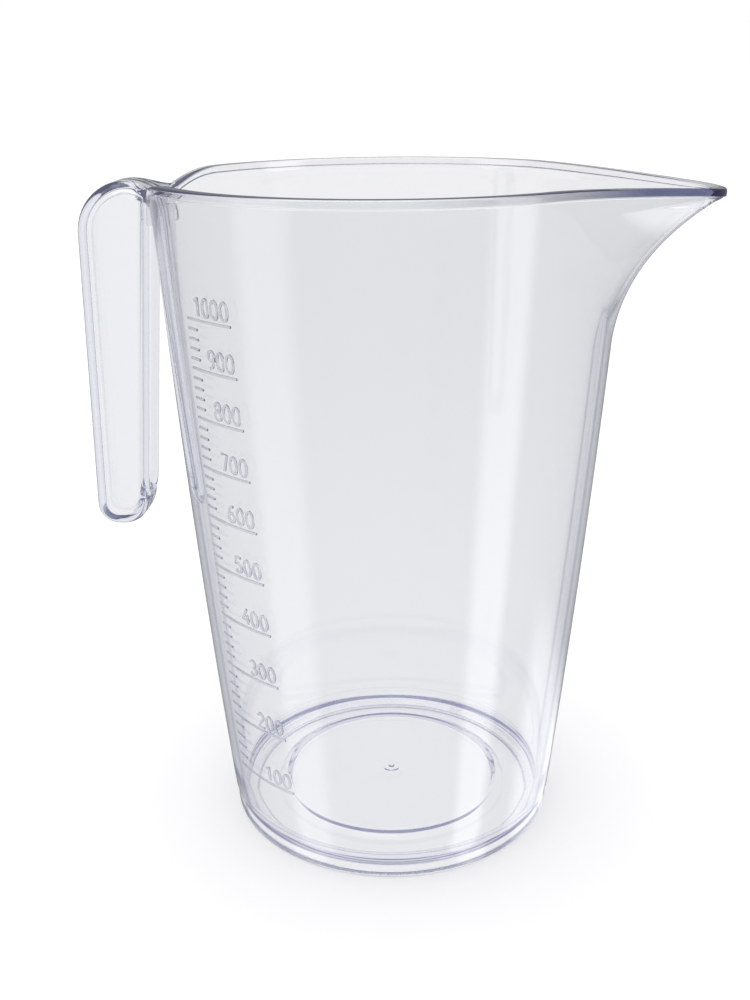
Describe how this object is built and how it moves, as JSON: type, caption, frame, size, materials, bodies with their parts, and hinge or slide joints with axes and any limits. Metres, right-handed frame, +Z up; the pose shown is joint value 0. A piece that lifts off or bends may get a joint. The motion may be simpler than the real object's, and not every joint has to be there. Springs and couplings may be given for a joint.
{
  "type": "measuring jug",
  "caption": "Clear moulded measuring jug with a drawn pouring spout, a beaded rim, a raised scale on the wall and a channel handle that hangs from the rim.",
  "frame": {"origin": "centre of the foot ring, on the surface that the jug stands on", "axes": "+Z up along the jug's axis, +X out through the spout, -X out through the handle, the scale on the -Y side towards the handle"},
  "size_m": [0.1573, 0.1154, 0.17],
  "materials": {
    "clear_body": "clear, glossy, with a faint cool tint",
    "clear_edge": "clear, glossy, darker where the plastic is seen edge on",
    "scale_relief": "clear raised ribs and figures of the same plastic"
  },
  "bodies": {
    "root": {"body_wall": "clear_body", "side_wall_near": "clear_body", "side_wall_far": "clear_body", "back_wall": "clear_body", "rim_bead_near": "clear_edge", "rim_bead_far": "clear_edge", "rim_saddle": "clear_edge", "spout_wall": "clear_body", "spout_lip": "clear_edge", "handle_root": "clear_body", "handle_crown": "clear_body", "handle_back": "clear_body", "handle_end": "clear_body", "handle_cheek_near": "clear_body", "handle_cheek_far": "clear_body", "handle_edge_near": "clear_edge", "handle_edge_far": "clear_edge", "foot_ring": "clear_edge", "floor_channel": "clear_body", "floor_step": "clear_body", "floor_disc": "clear_body", "gate_mark": "clear_body", "scale_lines": "scale_relief", "scale_ticks": "scale_relief", "scale_figures": "scale_relief"}
  },
  "joints": []
}
